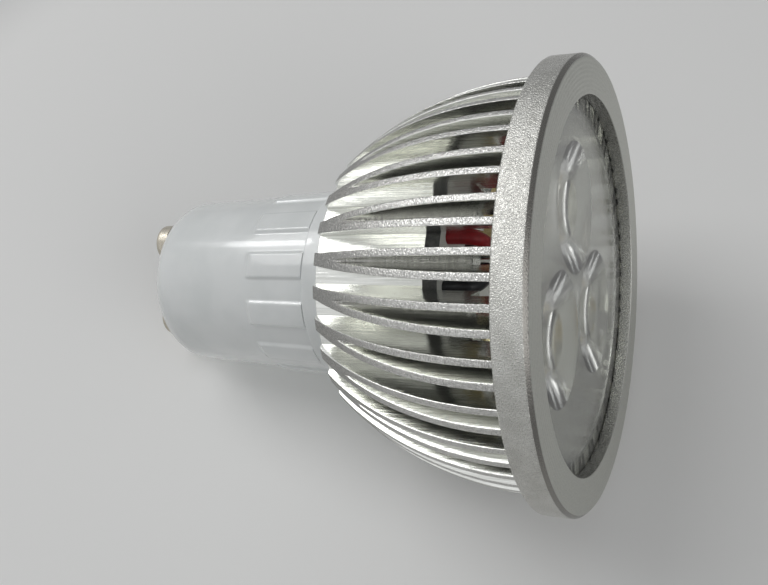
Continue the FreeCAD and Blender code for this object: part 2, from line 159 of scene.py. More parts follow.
class BulbColours(bpy.types.PropertyGroup):
    """Colours of the bulb's finishes, in linear light"""

    aluminium: colour("Aluminium", "Satin outside of the ring", (0.57, 0.565, 0.535))
    aluminium_dark: colour("Aluminium Shade", "Duller patches of the ring", (0.50, 0.495, 0.465))
    face: colour("Ring Face", "Matte turned face", (0.54, 0.545, 0.505))
    face_mark: colour("Ring Face Shade", "Grain of the turned face", (0.46, 0.465, 0.43))
    # Painted reflection: the bevel's dark colour stands in for the dark surroundings that it mirrors.
    chamfer: colour("Ring Chamfer", "Bevel between the face and the outside, with a painted dark reflection", (0.24, 0.232, 0.215))
    bore: colour("Ring Bore", "Inside of the ring", (0.46, 0.46, 0.43))
    side: colour("Fin Sides", "Smooth drawn sides of the fins", (0.92, 0.925, 0.89))
    side_streak: colour("Fin Streaks", "Lines along the fins", (0.70, 0.705, 0.67))
    cut: colour("Fin Edges", "Turned fin edges", (0.66, 0.655, 0.63))
    # Painted shade: darker fin edges towards the base, standing in for the shaded surroundings mirrored there.
    rear_cut_shade: colour("Rear Fin Edges", "Fin edges painted darker towards the base as shade", (0.33, 0.325, 0.31))
    cut_dark: colour("Fin Edge Shade", "Hollows of the turned fin edges", (0.48, 0.475, 0.455))
    base: colour("Base", "White moulded base", (0.78, 0.80, 0.795))
    base_shade: colour("Base Shade", "Slightly greyer patches of the base", (0.72, 0.745, 0.74))
    pin: colour("Pins", "Plated contact pins", (0.56, 0.52, 0.44))
    lens: colour("Lens", "Clear lens", (0.97, 0.975, 0.945))
    lens_shade: colour("Lens Shade", "Flow lines of the lens", (0.945, 0.955, 0.915))
    dome: colour("Dome", "Clear dome over an emitter", (0.97, 0.90, 0.62))
    dome_shade: colour("Dome Shade", "Deeper patches of a dome", (0.94, 0.82, 0.45))
    lead: colour("Leads", "Tinned leads of the emitters", (0.34, 0.33, 0.31))
    screw: colour("Screws", "Plated screws", (0.62, 0.61, 0.58))
    board: colour("Emitter Board", "White mask on the emitters' board", (0.78, 0.79, 0.76))
    # Painted shade: the board's edge is coloured near-black for the dark gap round the board.
    board_edge_shade: colour("Board Edge", "Sawn edge of the emitters' board", (0.13, 0.13, 0.12))
    emitter: colour("Emitter", "Moulded body of an emitter", (0.74, 0.62, 0.34))
    emitter_shade: colour("Emitter Shade", "Greyer patches of an emitter", (0.60, 0.48, 0.24))
    phosphor: colour("Phosphor", "Yellow patch inside an emitter", (0.86, 0.58, 0.05))
    phosphor_shade: colour("Phosphor Shade", "Thinner coat of phosphor", (0.72, 0.44, 0.03))
    red: colour("Red Lead", "Red insulation", (0.33, 0.008, 0.014))
    black: colour("Black Lead", "Black insulation", (0.012, 0.013, 0.018))
    mains: colour("Mains Leads", "Pale insulation", (0.72, 0.72, 0.70))
    driver: colour("Driver Board", "Green solder mask", (0.03, 0.16, 0.06))
    ferrite: colour("Ferrite", "Core of the transformer", (0.035, 0.035, 0.037))
    tape: colour("Tape", "Yellow tape round the coil", (0.70, 0.48, 0.03))
    sleeve: colour("Sleeve", "Shrunk sleeve of a capacitor", (0.012, 0.02, 0.07))
    epoxy: colour("Epoxy", "Bodies of the chips", (0.02, 0.02, 0.021))
    lacquer: colour("Lacquer", "Body of the fuse resistor", (0.16, 0.36, 0.24))


class BulbStage(bpy.types.PropertyGroup):
    """Camera, light and the surface that the bulb lies on"""

    camera_place: FloatVectorProperty(
        name="Camera", description="Where the camera stands", size=3, subtype="TRANSLATION", unit="LENGTH",
        default=(-14.19 * MM, -98.77 * MM, 77.15 * MM),
    )
    camera_aim: FloatVectorProperty(
        name="Aim", description="Point that the camera looks at", size=3, subtype="TRANSLATION", unit="LENGTH",
        default=(1.11 * MM, -0.17 * MM, 28.47 * MM),
    )
    camera_roll: angle("Roll", "Turn of the camera about its line of sight", 91.2)
    camera_lens: FloatProperty(name="Lens", description="Focal length", default=42.63, min=1.0, unit="CAMERA")
    floor_side: angle("Lying Side", "Direction about the axis in which the surface lies", 52.0)
    floor_gap: length("Surface Gap", "Thin gap between the ring and the surface", 0.2)
    floor_near: length("Plain Reach", "Radius of the plain part of the surface", 92.0)
    floor_far: length("Fading Reach", "Radius at which the surface has faded out", 125.0)
    floor_slope: FloatProperty(
        name="Slope", description="How fast the surface leaves the axis towards the ring", default=0.303
    )
    floor: colour("Surface", "Pale surface under the bulb", (0.86, 0.86, 0.85))
    sky: colour("Background", "Pale background", (0.80, 0.81, 0.82))
    key_side: FloatVectorProperty(
        name="Key Direction", description="Where the large soft light stands", size=3, subtype="DIRECTION",
        default=(-0.72, -0.58, -0.36),
    )
    key_far: length("Key Distance", "From the bulb to the large soft light", 450.0)
    key_size: length("Key Size", "Width of the large soft light", 300.0)
    key_power: power("Key Light", "Power of the large soft light", 0.7)
    glint_side: FloatVectorProperty(
        name="Glint Direction", description="Where the small light that glints on the base stands", size=3,
        subtype="DIRECTION", default=(-0.684, -0.405, -0.607),
    )
    glint_far: length("Glint Distance", "From the bulb to the small light", 510.0)
    glint_size: length("Glint Size", "Width of the small light", 55.0)
    glint_power: power("Glint Light", "Power of the small light", 0.07)
    light_aim: length("Light Height", "Height on the axis that the lights point at", 28.0)
    fill_place: FloatVectorProperty(
        name="Fill Place", description="Where the weaker light stands, from the height pointed at", size=3,
        subtype="TRANSLATION", unit="LENGTH", default=(0.055, -0.275, 0.4675),
    )
    back_place: FloatVectorProperty(
        name="Back Place", description="Where the light on the lying side stands, from the height pointed at", size=3,
        subtype="TRANSLATION", unit="LENGTH", default=(0.2025, 0.3825, 0.045),
    )
    wide: length("Wide Size", "Width of the weaker light and of the light on the lying side", 400.0)
    fill_power: power("Fill Light", "Power of the weaker light", 0.7)
    back_power: power("Back Light", "Power of the light on the lying side", 0.7)
    sky_side: FloatVectorProperty(
        name="Sky Direction", description="Where the surroundings are lightest", size=3, subtype="DIRECTION",
        default=(-0.50, -0.75, -0.43),
    )
    sky_from: FloatProperty(
        name="Sky Start", description="Cosine to the lightest direction where the sky is darkest", default=-0.15
    )
    sky_to: FloatProperty(
        name="Sky End", description="Cosine to the lightest direction where the sky is lightest", default=0.85
    )
    sky_low: FloatProperty(name="Sky Shade", description="Level of the darkest surroundings", default=0.42, min=0.0)
    sky_level: FloatProperty(name="Sky Light", description="Strength of the surrounding light", default=0.42, min=0.0)


def plug(tree, socket, value):
    """Links an output to an input, or sets the input's own value."""
    if isinstance(value, bpy.types.NodeSocket):
        tree.links.new(value, socket)
    else:
        socket.default_value = value


class Finish:
    """One material: a Principled shader on Object coordinates, with short calls for the nodes it uses"""

    def __init__(self, name, **values):
        self.material = bpy.data.materials.new(name)
        self.material.use_nodes = True
        self.tree = self.material.node_tree
        self.shader = self.tree.nodes["Principled BSDF"]
        place = self.node("ShaderNodeTexCoord").outputs["Object"]
        self.mm = self.vector("SCALE", place, scale=1.0 / MM)
        self.set(**values)

    def set(self, **values):
        """Sets or links shader inputs, written in lower case with underscores for spaces."""
        for name, value in values.items():
            words = {"ior": "IOR", "specular_ior_level": "Specular IOR Level"}
            title = words.get(name) or name.replace("_", " ").title()
            plug(self.tree, self.shader.inputs[title], value)

    def node(self, kind, **settings):
        """Adds a node and sets its properties."""
        made = self.tree.nodes.new(kind)
        for name, value in settings.items():
            setattr(made, name, value)
        return made

    def math(self, operation, *values):
        """Result of a math node."""
        made = self.node("ShaderNodeMath", operation=operation)
        for socket, value in zip(made.inputs, values):
            plug(self.tree, socket, value)
        return made.outputs[0]

    def vector(self, operation, first, second=None, scale=None):
        """Result of a vector math node, a number for a length or a dot product."""
        made = self.node("ShaderNodeVectorMath", operation=operation)
        plug(self.tree, made.inputs[0], first)
        if second is not None:
            plug(self.tree, made.inputs[1], second)
        if scale is not None:
            made.inputs["Scale"].default_value = scale
        return made.outputs["Value" if operation in ("LENGTH", "DOT_PRODUCT") else "Vector"]

    def noise(self, where, scale, detail=2.0, rough=0.5):
        """Noise from 0 to 1 at a place."""
        made = self.node("ShaderNodeTexNoise")
        for name, value in (("Vector", where), ("Scale", scale), ("Detail", detail), ("Roughness", rough)):
            plug(self.tree, made.inputs[name], value)
        return made.outputs["Fac"]

    def between(self, value, low, high, to_low=0.0, to_high=1.0):
        """Value mapped smoothly from low..high to to_low..to_high, and held beyond."""
        made = self.node("ShaderNodeMapRange", interpolation_type="SMOOTHSTEP")
        for socket, number in zip(made.inputs, (value, low, high, to_low, to_high)):
            plug(self.tree, socket, number)
        return made.outputs["Result"]

    def blend(self, factor, first, second):
        """Colour between two colours."""
        made = self.node("ShaderNodeMix", data_type="RGBA")
        plug(self.tree, made.inputs["Factor"], factor)
        for socket, value in ((made.inputs[6], first), (made.inputs[7], second)):
            plug(self.tree, socket, value if isinstance(value, bpy.types.NodeSocket) else (*value, 1.0))
        return made.outputs[2]

    def bump(self, height, strength, distance, normal=None):
        """Normal bent by a height, on top of another normal if one is given."""
        made = self.node("ShaderNodeBump")
        plug(self.tree, made.inputs["Height"], height)
        made.inputs["Strength"].default_value = strength
        made.inputs["Distance"].default_value = distance
        if normal is not None:
            plug(self.tree, made.inputs["Normal"], normal)
        return made.outputs["Normal"]

    def split(self, vector):
        """The three parts of a vector."""
        made = self.node("ShaderNodeSeparateXYZ")
        plug(self.tree, made.inputs[0], vector)
        return made.outputs["X"], made.outputs["Y"], made.outputs["Z"]

    def join(self, x, y, z):
        """A vector from its three parts."""
        made = self.node("ShaderNodeCombineXYZ")
        for socket, value in zip(made.inputs, (x, y, z)):
            plug(self.tree, socket, value)
        return made.outputs[0]

    def round_place(self):
        """Radius from the bulb's axis and height along it, in millimetres."""
        radius = self.vector("LENGTH", self.vector("MULTIPLY", self.mm, (1.0, 1.0, 0.0)))
        return radius, self.split(self.mm)[2]

    def facing(self):
        """How far the surface faces outwards from the axis, and along it."""
        normal = self.node("ShaderNodeNewGeometry").outputs["Normal"]
        flat = self.vector("NORMALIZE", self.vector("MULTIPLY", self.mm, (1.0, 1.0, 0.0)))
        return self.vector("DOT_PRODUCT", normal, flat), self.split(normal)[2]


def ring_finish(colours):
    """Satin aluminium: sparkling grain outside, a matte face, a bevel between them made dark by a painted reflection,
    and a darker bore.
    """
    f = Finish("ring_aluminium", metallic=1.0)
    outward, forward = f.facing()
    face = f.between(forward, 0.75, 0.95)
    inside = f.between(outward, -0.3, -0.6)
    # Mask of the front bevel, where the painted dark reflection goes.
    edge = f.math("MULTIPLY", f.between(forward, 0.4, 0.6), f.math("SUBTRACT", 1.0, face))
    grain = f.noise(f.mm, 8.0, 1.0, 0.5)
    cloud = f.noise(f.mm, 0.5, 3.0)
    band = f.blend(f.between(cloud, 0.35, 0.65), colours.aluminium, colours.aluminium_dark)
    plain = f.blend(f.between(f.noise(f.mm, 6.0), 0.3, 0.7), colours.face, colours.face_mark)
    front = f.blend(face, f.blend(edge, band, colours.chamfer), plain)
    f.set(base_color=f.blend(inside, front, colours.bore))
    f.set(roughness=f.math("ADD", f.between(grain, 0.3, 0.7, 0.2, 0.3), f.math("MULTIPLY", face, 0.16)))
    plainer = f.math("MAXIMUM", f.math("MAXIMUM", face, edge), inside)
    rough = f.math("MULTIPLY", grain, f.math("SUBTRACT", 1.0, f.math("MULTIPLY", plainer, 0.8)))
    f.set(normal=f.bump(rough, 1.0, 0.0001))
    return f.material


def sink_finish(colours):
    """Extruded aluminium with streaks along its length, and a darker chattered cut across the fin edges, with painted
    shade that darkens the cut towards the base.
    """
    f = Finish("sink_aluminium", metallic=1.0)
    radius, height = f.round_place()
    outward, _ = f.facing()
    turned = f.math("MULTIPLY", f.between(outward, 0.45, 0.7), f.between(radius, 15.4, 15.6))
    x, y, _ = f.split(f.mm)
    drawn = f.join(x, y, f.math("MULTIPLY", height, 0.03))
    streak = f.noise(drawn, 3.5, 4.0, 0.6)
    fine = f.noise(drawn, 9.0, 2.0)
    across = f.join(f.math("MULTIPLY", x, 0.6), f.math("MULTIPLY", y, 0.6), height)
    chatter = f.noise(across, 6.5, 1.0, 0.5)
    side = f.blend(f.between(streak, 0.3, 0.7), colours.side, colours.side_streak)
    cut = f.blend(f.between(chatter, 0.3, 0.7), colours.cut_dark, colours.cut)
    # Painted shade: the cut darkens towards the base, standing in for the shaded surroundings mirrored there.
    cut = f.blend(f.between(height, 29.0, 42.0), colours.rear_cut_shade, cut)
    f.set(base_color=f.blend(turned, side, cut))
    smooth = f.between(streak, 0.3, 0.7, 0.10, 0.22)
    f.set(roughness=f.math("ADD", smooth, f.math("MULTIPLY", turned, 0.08)))
    lines = f.bump(f.math("ADD", streak, f.math("MULTIPLY", fine, 0.4)), 0.35, 0.00008)
    f.set(normal=f.bump(f.math("MULTIPLY", chatter, turned), 1.0, 0.00014, lines))
    return f.material


def lens_finish(colours):
    """Clear moulded acrylic with faint flow lines, and a front that is frosted a little."""
    f = Finish("clear_acrylic", transmission_weight=1.0, ior=1.49)
    _, forward = f.facing()
    frost = f.between(forward, 0.9, 0.98, 0.06, 0.18)
    f.set(roughness=f.math("ADD", frost, f.between(f.noise(f.mm, 1.5), 0.3, 0.7, 0.0, 0.05)))
    f.set(base_color=f.blend(f.noise(f.mm, 0.4), colours.lens, colours.lens_shade))
    f.set(normal=f.bump(f.noise(f.mm, 0.5, 2.0), 0.06, 0.0001))
    return f.material


def base_finish(colours):
    """Glossy white moulding, a little see-through at its edges, with a soft orange peel."""
    f = Finish("white_moulding", specular_ior_level=0.5, coat_weight=0.5, coat_roughness=0.04)
    f.set(subsurface_weight=0.25, subsurface_radius=(1.2 * MM, 1.2 * MM, 1.3 * MM), subsurface_scale=1.0)
    cloud = f.noise(f.mm, 0.18, 3.0)
    f.set(base_color=f.blend(f.between(cloud, 0.35, 0.7), colours.base, colours.base_shade))
    f.set(roughness=f.between(f.noise(f.mm, 2.0, 3.0), 0.3, 0.7, 0.14, 0.22))
    f.set(normal=f.bump(f.noise(f.mm, 1.4, 2.0), 0.10, 0.00006))
    return f.material


def plated_finish(name, tint, rough, scale=6.0):
    """Plated metal with fine handling scratches."""
    f = Finish(name, metallic=1.0)
    x, y, z = f.split(f.mm)
    scratch = f.noise(f.join(f.math("MULTIPLY", x, 0.2), y, z), scale, 3.0, 0.7)
    dull = tuple(0.72 * c for c in tint)
    f.set(base_color=f.blend(f.between(scratch, 0.35, 0.75), tint, dull))
    f.set(roughness=f.between(scratch, 0.3, 0.7, rough, rough + 0.16))
    f.set(normal=f.bump(scratch, 0.25, 0.00005))
    return f.material


def plastic_finish(name, tint, rough, speckle=0.12, scale=2.5):
    """Plain insulating material with a faint mottle and surface grain."""
    f = Finish(name, specular_ior_level=0.45)
    mottle = f.noise(f.mm, scale, 3.0)
    deep = tuple((1.0 - speckle * 2.0) * c for c in tint)
    f.set(base_color=f.blend(f.between(mottle, 0.35, 0.7), tint, deep))
    f.set(roughness=f.between(mottle, 0.3, 0.7, rough, rough + 0.15))
    f.set(normal=f.bump(f.noise(f.mm, scale * 4.0, 2.0), 0.15, 0.00005))
    return f.material


def board_finish(colours):
    """White mask on top of a metal board, with its sawn edge painted near-black as painted shade."""
    f = Finish("white_mask", specular_ior_level=0.4)
    _, forward = f.facing()
    mask = f.between(forward, 0.4, 0.7)
    mottle = f.noise(f.mm, 2.5, 3.0)
    # The board's edge and sides take the painted shade colour, mottled with black.
    f.set(base_color=f.blend(mask, f.blend(mottle, colours.board_edge_shade, colours.black), colours.board))
    f.set(roughness=f.between(mottle, 0.3, 0.7, 0.35, 0.5))
    return f.material


def dome_finish(colours):
    """Clear silicone over the emitter, warm from the phosphor below."""
    f = Finish("clear_silicone", transmission_weight=1.0, ior=1.41, roughness=0.03)
    f.set(base_color=f.blend(f.noise(f.mm, 0.8), colours.dome, colours.dome_shade))
    return f.material


def emitter_finish(colours, bodies, patch):
    """Pale moulding with a round patch of yellow phosphor in the middle of each emitter's top."""
    f = Finish("emitter_moulding", specular_ior_level=0.4)
    boxes = [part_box(name) for name in bodies]
    middles = [(low + high) / (2.0 * MM) for low, high in boxes]
    flat = f.vector("MULTIPLY", f.mm, (1.0, 1.0, 0.0))
    away = [f.vector("LENGTH", f.vector("SUBTRACT", flat, (m.x, m.y, 0.0))) for m in middles]
    nearest = f.math("MINIMUM", f.math("MINIMUM", away[0], away[1]), away[2])
    mottle = f.noise(f.mm, 3.0, 3.0)
    coat = f.blend(f.between(mottle, 0.3, 0.7), colours.phosphor, colours.phosphor_shade)
    plain = f.blend(f.between(mottle, 0.3, 0.7), colours.emitter, colours.emitter_shade)
    f.set(base_color=f.blend(f.between(nearest, patch / MM + 0.1, patch / MM - 0.1), plain, coat))
    f.set(roughness=f.between(mottle, 0.3, 0.7, 0.4, 0.6))
    return f.material


def surface_finish(tint, near, far):
    """Pale surface: seen from the bulb's side alone, fading out at its rim, and it lets the back light by."""
    f = Finish("pale_surface", roughness=0.9, specular_ior_level=0.1)
    f.set(base_color=(*tint, 1.0))
    reach = f.vector("LENGTH", f.mm)
    fade = f.between(reach, near / MM, far / MM)
    behind = f.node("ShaderNodeNewGeometry").outputs["Backfacing"]
    shadow = f.node("ShaderNodeLightPath").outputs["Is Shadow Ray"]
    mix = f.node("ShaderNodeMixShader")
    plug(f.tree, mix.inputs[0], f.math("MAXIMUM", f.math("MAXIMUM", behind, shadow), fade))
    plug(f.tree, mix.inputs[1], f.shader.outputs[0])
    plug(f.tree, mix.inputs[2], f.node("ShaderNodeBsdfTransparent").outputs[0])
    plug(f.tree, f.tree.nodes["Material Output"].inputs["Surface"], mix.outputs[0])
    return f.material


def dress(material, *names):
    """Gives CAD nodes one finish."""
    for name in names:
        mesh = NODES[name].data
        mesh.materials.clear()
        mesh.materials.append(material)


def piece(name, mesh_parts, material, replaced, sharp=math.radians(38.0)):
    """Object from points and faces, smooth but for its sharp edges, in the place of a CAD node."""
    points, faces = mesh_parts
    mesh = bpy.data.meshes.new(name)
    mesh.from_pydata(points, [], faces)
    mesh.validate()
    closed = bmesh.new()
    closed.from_mesh(mesh)
    bmesh.ops.remove_doubles(closed, verts=closed.verts, dist=WELD)
    bmesh.ops.dissolve_degenerate(closed, dist=WELD, edges=closed.edges)
    bmesh.ops.recalc_face_normals(closed, faces=closed.faces)
    closed.to_mesh(mesh)
    closed.free()
    mesh.shade_smooth()
    mesh.set_sharp_from_angle(angle=sharp)
    mesh.materials.append(material)
    made = bpy.data.objects.new(name, mesh)
    bpy.context.scene.collection.objects.link(made)
    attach(made, "root")
    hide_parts(replaced)


def revolved(radius, height):
    """Grid of points (radius[i, j] cos a_j, radius[i, j] sin a_j, height[i]) with the a_j sharing the circle."""
    around = np.arange(radius.shape[1]) * 2.0 * np.pi / radius.shape[1]
    level = np.broadcast_to(height[:, None], radius.shape)
    return np.stack([radius * np.cos(around), radius * np.sin(around), level], axis=-1)


def banded(index, closed=False):
    """Quads between the rows of an index grid, closed round each row and, if asked, from last row to first."""
    upper = np.roll(index, -1, axis=-2)
    if not closed:
        index = index[..., :-1, :]
        upper = upper[..., :-1, :]
    quads = [index, np.roll(index, -1, axis=-1), np.roll(upper, -1, axis=-1), upper]
    return np.stack(quads, axis=-1).reshape(-1, 4).tolist()


def poled(grid, first, last):
    """Skin over a revolved grid, closed by a point on the axis at each end."""
    rows, columns = grid.shape[:2]
    index = np.arange(rows * columns).reshape(rows, columns)
    points = np.concatenate([grid.reshape(-1, 3), [[0.0, 0.0, first], [0.0, 0.0, last]]])
    after = np.roll(index, -1, axis=1)
    fans = [
        np.stack([after[row], index[row], np.full(columns, rows * columns + k)], axis=-1)
        for k, row in enumerate((0, -1))
    ]
    return points.tolist(), banded(index) + np.concatenate(fans).tolist()


def looped(grid):
    """Skin over a revolved grid whose last row meets its first."""
    index = np.arange(grid.shape[0] * grid.shape[1]).reshape(grid.shape[:2])
    return grid.reshape(-1, 3).tolist(), banded(index, closed=True)


def barred(grid, joined):
    """Skins over several bars, each a stack of closed outlines with a flat end at both ends.

    A face whose corners are all marked as joined is left out, because the next bar goes on from there.
    """
    index = np.arange(grid.size // 3).reshape(grid.shape[:-1])
    quads = np.array(banded(index))
    marks = np.broadcast_to(joined, index.shape).ravel()
    ends = np.concatenate([index[:, 0], index[:, -1]])
    return grid.reshape(-1, 3).tolist(), quads[~marks[quads].all(axis=1)].tolist() + ends.tolist()


def together(*parts):
    """Several skins as one."""
    points = []
    faces = []
    for some, others in parts:
        faces += [[k + len(points) for k in face] for face in others]
        points += some
    return points, faces


def smooth_step(value):
    """Cubic step from 0 to 1 while value goes from 0 to 1."""
    held = np.clip(value, 0.0, 1.0)
    return held * held * (3.0 - 2.0 * held)


def eased(start, corner, end, count):
    """Quadratic curve (1-t)^2 start + 2t(1-t) corner + t^2 end, along the second last axis."""
    t = np.linspace(0.0, 1.0, count)[:, None]
    start, corner, end = (np.asarray(p)[..., None, :] for p in (start, corner, end))
    return (1 - t) ** 2 * start + 2 * t * (1 - t) * corner + t ** 2 * end


def profile(*corners):
    """Outline through corners (radius, height, rounding), each eased over its rounding."""
    path = np.array([c[:2] for c in corners])
    out = [path[:1]]
    for k in range(1, len(corners) - 1):
        rounding = corners[k][2]
        into = path[k - 1] - path[k]
        away = path[k + 1] - path[k]
        start = path[k] + into / np.linalg.norm(into) * rounding
        end = path[k] + away / np.linalg.norm(away) * rounding
        out.append(eased(start, path[k], end, CORNER_POINTS if rounding else 1))
    out.append(path[-1:])
    return np.concatenate(out)


def ring_skin(s):
    """Turned ring: an outline with eased corners, and a front face cut by cosine tool marks.

    On the face, height = front - depth (1 - cos(2 pi r / pitch)) / 2.
    """
    rim = RING_HIGH.x
    low, front = RING_LOW.z, RING_HIGH.z
    opening = rim - s.face_width
    bore = rim - s.wall
    outside = profile(
        (bore, low, 0.0),
        (rim - s.rear_chamfer, low, EASE / 2),
        (rim, low + s.rear_chamfer, EASE / 2),
        (rim, front - s.chamfer, EASE),
        (rim - s.chamfer, front, EASE),
        (rim - s.chamfer - 2 * EASE, front, 0.0),
    )
    inside = profile(
        (opening + 2 * EASE, front, 0.0),
        (opening, front, EASE),
        (opening, front - s.lip, EASE),
        (bore, front - s.lip, EASE / 2),
        (bore, low + EASE, 0.0),
    )
    steps = round((outside[-1, 0] - inside[0, 0]) / s.groove_pitch * GROOVE_POINTS)
    across = np.linspace(outside[-1, 0], inside[0, 0], steps)[1:-1]
    mark = s.groove_depth * (1 - np.cos(2 * np.pi * (across - outside[-1, 0]) / s.groove_pitch)) / 2
    outline = np.concatenate([outside, np.stack([across, front - mark], axis=-1), inside])
    return looped(revolved(np.repeat(outline[:, :1], s.columns, axis=1), outline[:, 1]))


def bowl_radius(s, z):
    """Radius of the turned bowl: an arc from the rear to the ring that stands out of its chord by the bulge."""
    rise = RING_LOW.z - SINK_LOW.z
    widen = s.tip_radius - s.rear_radius
    chord = math.hypot(rise, widen)
    arc = (chord ** 2 / 4 + s.bulge ** 2) / (2 * s.bulge)
    middle_r = (s.rear_radius + s.tip_radius) / 2 - (arc - s.bulge) * rise / chord
    middle_z = (SINK_LOW.z + RING_LOW.z) / 2 + (arc - s.bulge) * widen / chord
    return middle_r + np.sqrt(arc ** 2 - (z - middle_z) ** 2)


def fin_levels(s):
    """Heights of the fins' sections, with the radii where each section ends and begins."""
    rear, floor, ring, top = SINK_LOW.z, BOARD_LOW.z, RING_LOW.z, SINK_HIGH.z
    seat = top - s.lens_depth
    buried = s.root_radius - s.edge * 4
    runs = (
        (np.array([rear, rear + s.edge * 0.3, rear + s.edge]), buried),
        (np.linspace(rear + s.edge * 2, floor, SOLID_ROWS), buried),
        (np.linspace(floor, seat, CAVITY_ROWS), s.cavity_radius),
        (np.linspace(seat, ring, SEAT_ROWS), s.lens_radius),
    )
    z = np.concatenate([heights for heights, _ in runs])
    inner = np.concatenate([np.full(len(heights), radius) for heights, radius in runs])
    outer = bowl_radius(s, z)
    outer[:2] -= s.edge * np.array([0.7, 0.2])
    z = np.append(z, [ring, top])
    inner = np.append(inner, [s.lens_radius] * 2)
    outer = np.append(outer, [s.spigot_radius] * 2)
    return z, inner, outer


def half_fork(s, side):
    """Stacked outlines of the half of a fork on one side of its middle line, and which points lie on that line.

    A point d along the middle line from the tip and v across it is tip + d (cos, sin)(lean) + v (-sin, cos)(lean).
    A line at v reaches the radius R at d = sqrt(R^2 - (tip sin(lean) - v)^2) - tip cos(lean). The side of the
    fork lies at v = max(trunk / 2, spread / 2 + slope d + tine / 2), and the gap between the tines at
    v = spread / 2 + slope d - tine / 2, with a round crotch. The edges at the bowl are eased.
    """
    z, inner, outer = fin_levels(s)
    sine, cosine = math.sin(s.lean), math.cos(s.lean)
    fork = (s.fork_radius - s.tip_radius) / cosine
    slope = (s.spread / 2 - s.tine / 2 - s.crotch) / -fork

    def flank_at(d):
        return np.maximum(s.trunk / 2, s.spread / 2 + slope * d + s.tine / 2)

    def gap_at(d):
        crotch = np.sqrt(np.clip(s.crotch ** 2 - (d - fork) ** 2, 0.0, None))
        return np.where(d > fork, s.spread / 2 + slope * d - s.tine / 2, crotch)

    def reach(radius, width):
        d = np.zeros_like(radius)
        for _ in range(REACH_ROUNDS):
            d = np.sqrt(radius ** 2 - (s.tip_radius * sine - side * width(d)) ** 2) - s.tip_radius * cosine
        return d

    def place(d, width):
        v = side * width(d)
        return np.stack([s.tip_radius + d * cosine - v * sine, d * sine + v * cosine], axis=-1)

    def on_bowl(turn):
        radius = outer if turn.ndim == 1 else outer[:, None]
        return np.stack([radius * np.cos(turn), radius * np.sin(turn)], axis=-1)

    far, near = reach(outer, flank_at), reach(inner, flank_at)
    gap, heel = reach(outer, gap_at), reach(inner, gap_at)
    floor = np.minimum(np.maximum(fork - s.crotch, heel), gap)
    ease = np.minimum(s.edge, 0.4 * (far - near))
    gap_ease = np.minimum(s.edge, 0.4 * (gap - floor))
    brow, brink = place(far, flank_at), place(gap, gap_at)
    start = np.arctan2(brow[:, 1], brow[:, 0]) - side * ease / outer
    stop = np.arctan2(brink[:, 1], brink[:, 0]) + side * gap_ease / outer
    up = np.linspace(0.0, 1.0, 5)[:-1]
    down = np.linspace(1.0, 0.0, 7)[1:] ** 2
    outline = [
        place(near[:, None] + (far - ease - near)[:, None] * up, flank_at),
        eased(place(far - ease, flank_at), brow, on_bowl(start), EDGE_POINTS),
        on_bowl(start[:, None] + (stop - start)[:, None] * np.array([0.33, 0.67])),
        eased(on_bowl(stop), brink, place(gap - gap_ease, gap_at), EDGE_POINTS),
        place(floor[:, None] + (gap - gap_ease - floor)[:, None] * down, gap_at),
        place(np.minimum(heel, floor), gap_at)[:, None],
    ]
    flat = np.concatenate(outline, axis=1)
    across = flat[..., 1] * cosine - (flat[..., 0] - s.tip_radius) * sine
    level = np.broadcast_to(z[:, None, None], (*flat.shape[:2], 1))
    return np.concatenate([flat, level], axis=-1), np.abs(across) < WELD


def sink_skin(s):
    """Forked fins turned about the axis in equal steps, on a hub that is a plain turned profile."""
    steps = np.arange(s.count) * 2.0 * np.pi / s.count
    turns = np.zeros((s.count, 3, 3))
    turns[:, 0, 0] = turns[:, 1, 1] = np.cos(steps)
    turns[:, 1, 0] = np.sin(steps)
    turns[:, 0, 1] = -np.sin(steps)
    turns[:, 2, 2] = 1.0
    halves = [half_fork(s, side) for side in (1, -1)]
    fins = [barred(np.einsum("kab,ijb->kija", turns, grid), joined) for grid, joined in halves]
    rear, floor = SINK_LOW.z, BOARD_LOW.z
    hub = profile(
        (0.1 * s.socket_radius, floor - s.web, 0.0),
        (s.socket_radius, floor - s.web, s.edge),
        (s.socket_radius, rear, s.edge),
        (s.root_radius, rear, s.edge),
        (s.root_radius, floor, s.edge),
        (0.1 * s.socket_radius, floor, 0.0),
    )
    grid = revolved(np.repeat(hub[:, :1], HUB_COLUMNS, axis=1), hub[:, 1])
    return together(*fins, poled(grid, floor - s.web, floor))


